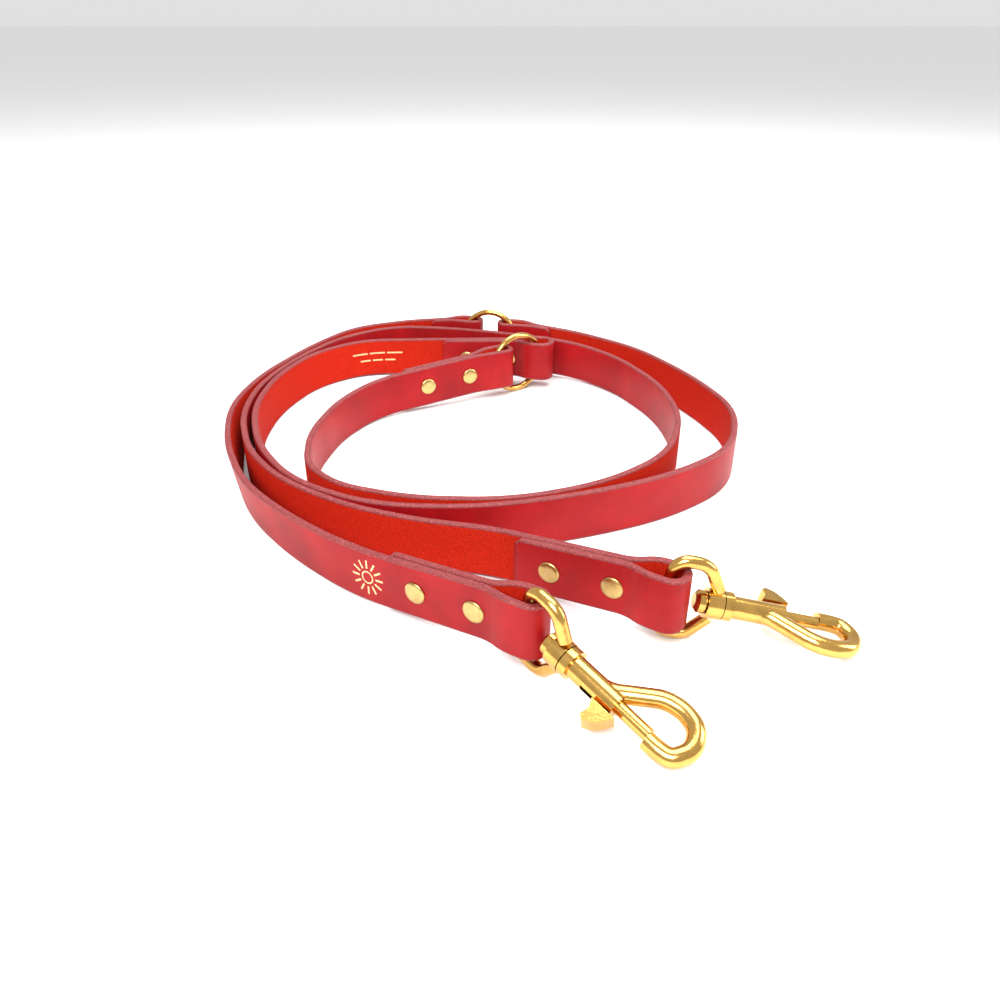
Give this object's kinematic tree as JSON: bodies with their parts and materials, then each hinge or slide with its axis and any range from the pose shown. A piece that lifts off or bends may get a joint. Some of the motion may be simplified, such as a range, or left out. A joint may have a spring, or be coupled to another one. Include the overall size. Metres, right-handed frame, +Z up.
{
  "type": "training leash",
  "caption": "Flat leather training leash stored as an upright coil, its straps joined by metal rings, with a swivelling bolt-snap hook at each free end.",
  "frame": {"origin": "the middle of the bounding box's footprint, on the floor", "axes": "+Z up, +Y to the back of the coil, away from the hooks, +X to the side hook B points to"},
  "size_m": [0.2218, 0.3002, 0.03],
  "materials": {
    "leather": "smooth dyed leather with a suede flesh side",
    "brass": "polished"
  },
  "bodies": {
    "leather": {"strap_hook_a": "leather", "strap_middle": "leather", "strap_long": "leather", "rivet_a_1": "brass", "rivet_a_2": "brass", "rivet_b_1": "brass", "rivet_b_2": "brass", "rivet_c_1": "brass", "rivet_c_2": "brass", "rivet_m_1": "brass", "rivet_m_2": "brass", "rivet_r_1": "brass", "rivet_r_2": "brass"},
    "ring_1": {"ring_1": "brass"},
    "ring_2": {"ring_2": "brass"},
    "eye_a": {"hook_a_eye": "brass"},
    "snap_a": {"hook_a_body": "brass"},
    "bolt_a": {"hook_a_bolt": "brass", "hook_a_knob": "brass"},
    "eye_b": {"hook_b_eye": "brass"},
    "snap_b": {"hook_b_body": "brass"},
    "bolt_b": {"hook_b_bolt": "brass", "hook_b_knob": "brass"}
  },
  "joints": [
    {"name": "ring_1_spin", "type": "hinge", "parent": "leather", "child": "ring_1", "pos_m": [0.0112, 0.1005, 0.015], "axis": [-0.5592, 0.829, 0], "continuous": true},
    {"name": "ring_2_spin", "type": "hinge", "parent": "leather", "child": "ring_2", "pos_m": [-0.0027, 0.1386, 0.015], "axis": [0.2419, 0.9703, 0], "continuous": true},
    {"name": "hook_a_swing", "type": "hinge", "parent": "leather", "child": "eye_a", "pos_m": [0.0095, -0.107, 0.016], "axis": [0.1448, -0.1608, 0.9763], "range_deg": [-20, 20]},
    {"name": "hook_a_swivel", "type": "hinge", "parent": "eye_a", "child": "snap_a", "pos_m": [0.0193, -0.11788, 0.01275], "axis": [0.6533, -0.7255, -0.2164], "continuous": true},
    {"name": "hook_a_bolt_slide", "type": "slide", "parent": "snap_a", "child": "bolt_a", "axis": [-0.6533, 0.7255, 0.2164], "range_m": [0, 0.007], "stiffness_N_per_m": 150, "springref_m": -0.005},
    {"name": "hook_b_swing", "type": "hinge", "parent": "leather", "child": "eye_b", "pos_m": [0.051, -0.095, 0.016], "axis": [0.2044, -0.0071, 0.9789], "range_deg": [-20, 20]},
    {"name": "hook_b_swivel", "type": "hinge", "parent": "eye_b", "child": "snap_b", "pos_m": [0.06567, -0.09551, 0.01293], "axis": [0.9783, -0.0342, -0.2045], "continuous": true},
    {"name": "hook_b_bolt_slide", "type": "slide", "parent": "snap_b", "child": "bolt_b", "axis": [-0.9783, 0.0342, 0.2045], "range_m": [0, 0.007], "stiffness_N_per_m": 150, "springref_m": -0.005}
  ]
}
